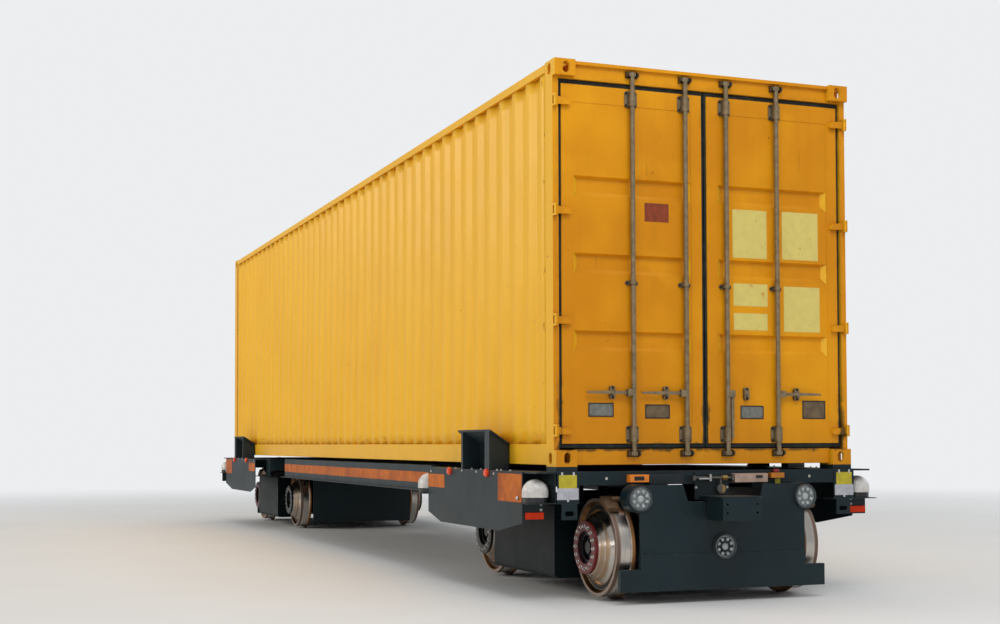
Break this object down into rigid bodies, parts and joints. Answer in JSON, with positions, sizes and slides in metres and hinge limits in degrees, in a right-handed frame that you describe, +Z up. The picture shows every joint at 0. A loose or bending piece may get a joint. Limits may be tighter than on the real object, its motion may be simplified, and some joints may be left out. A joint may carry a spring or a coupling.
{
  "type": "battery-electric container flatcar with a high-cube container",
  "caption": "Container flatcar on powered two-axle bogies, carrying a corrugated high-cube box with swinging end doors and lock rods.",
  "frame": {"origin": "under the middle of the car, at the wheel flanges' lowest point", "axes": "+X along the car towards the container doors, +Y across to the left of travel, +Z up"},
  "size_m": [13.12, 2.872, 3.861],
  "materials": {
    "container_paint": "worn gloss paint",
    "galvanised": "weathered galvanised steel",
    "seal": "matt rubber",
    "car_paint": "satin paint",
    "floor_wood": "sealed plywood",
    "wheel_steel": "polished and browned steel",
    "hub_red": "dark red satin",
    "cast_frame": "painted castings",
    "gloss_black": "gloss cover",
    "dome_white": "satin white",
    "lamp_amber": "tinted lens",
    "lamp_red": "tinted lens",
    "headlamp": "clear lens"
  },
  "bodies": {
    "car": {"air_couplings": "galvanised", "bottom_castings": "container_paint", "cam_keepers": "galvanised", "centre_beams": "car_paint", "corner_brackets": "car_paint", "corner_posts": "container_paint", "couplers": "car_paint", "cross_members": "car_paint", "domes": "dome_white", "end_boxes": "car_paint", "end_platforms": "car_paint", "end_rails": "container_paint", "fascias": "car_paint", "floor": "floor_wood", "front_wall": "container_paint", "guide_stands": "car_paint", "marker_lamps": "lamp_amber", "roof": "container_paint", "side_rails": "container_paint", "side_sills": "car_paint", "side_wall_far": "container_paint", "side_wall_near": "container_paint", "stop_buttons": "lamp_red", "tail_lamps": "lamp_red", "top_castings": "container_paint", "warning_lights": "lamp_amber"},
    "bogie_front": {"axle_boxes_front": "cast_frame", "bogie_frame_front": "cast_frame", "headlamps_front": "headlamp", "inner_pilot_front": "car_paint", "outer_pilot_front": "car_paint", "power_unit_front": "cast_frame", "side_boxes_front": "gloss_black"},
    "bogie_rear": {"axle_boxes_rear": "cast_frame", "bogie_frame_rear": "cast_frame", "headlamps_rear": "headlamp", "inner_pilot_rear": "car_paint", "outer_pilot_rear": "car_paint", "power_unit_rear": "cast_frame", "side_boxes_rear": "gloss_black"},
    "wheelset_front_inner": {"axle_front_inner": "hub_red", "wheels_front_inner": "wheel_steel"},
    "wheelset_front_outer": {"axle_front_outer": "hub_red", "wheels_front_outer": "wheel_steel"},
    "wheelset_rear_inner": {"axle_rear_inner": "hub_red", "wheels_rear_inner": "wheel_steel"},
    "wheelset_rear_outer": {"axle_rear_outer": "hub_red", "wheels_rear_outer": "wheel_steel"},
    "door_left": {"door_left": "container_paint", "door_seal_left": "seal", "lock_fittings_left": "galvanised", "lock_rods_left": "galvanised"},
    "door_right": {"door_right": "container_paint", "door_seal_right": "seal", "lock_fittings_right": "galvanised", "lock_rods_right": "galvanised"}
  },
  "joints": [
    {"name": "bogie_front_swivel", "type": "hinge", "parent": "car", "child": "bogie_front", "pos_m": [4.84, 0, 0.77], "axis": [0, 0, 1], "range_deg": [-4, 4]},
    {"name": "wheelset_front_outer_spin", "type": "hinge", "parent": "bogie_front", "child": "wheelset_front_outer", "pos_m": [5.89, 0, 0.381], "axis": [0, 1, 0], "continuous": true},
    {"name": "wheelset_front_inner_spin", "type": "hinge", "parent": "bogie_front", "child": "wheelset_front_inner", "pos_m": [3.79, 0, 0.381], "axis": [0, 1, 0], "continuous": true},
    {"name": "bogie_rear_swivel", "type": "hinge", "parent": "car", "child": "bogie_rear", "pos_m": [-4.84, 0, 0.77], "axis": [0, 0, 1], "range_deg": [-4, 4]},
    {"name": "wheelset_rear_outer_spin", "type": "hinge", "parent": "bogie_rear", "child": "wheelset_rear_outer", "pos_m": [-5.89, 0, 0.381], "axis": [0, 1, 0], "continuous": true},
    {"name": "wheelset_rear_inner_spin", "type": "hinge", "parent": "bogie_rear", "child": "wheelset_rear_inner", "pos_m": [-3.79, 0, 0.381], "axis": [0, 1, 0], "continuous": true},
    {"name": "door_left_hinge", "type": "hinge", "parent": "car", "child": "door_left", "pos_m": [6.08, -1.205, 2.4], "axis": [0, 0, -1], "range_deg": [0, 245]},
    {"name": "door_right_hinge", "type": "hinge", "parent": "car", "child": "door_right", "pos_m": [6.08, 1.205, 2.4], "axis": [0, 0, 1], "range_deg": [0, 245]}
  ]
}
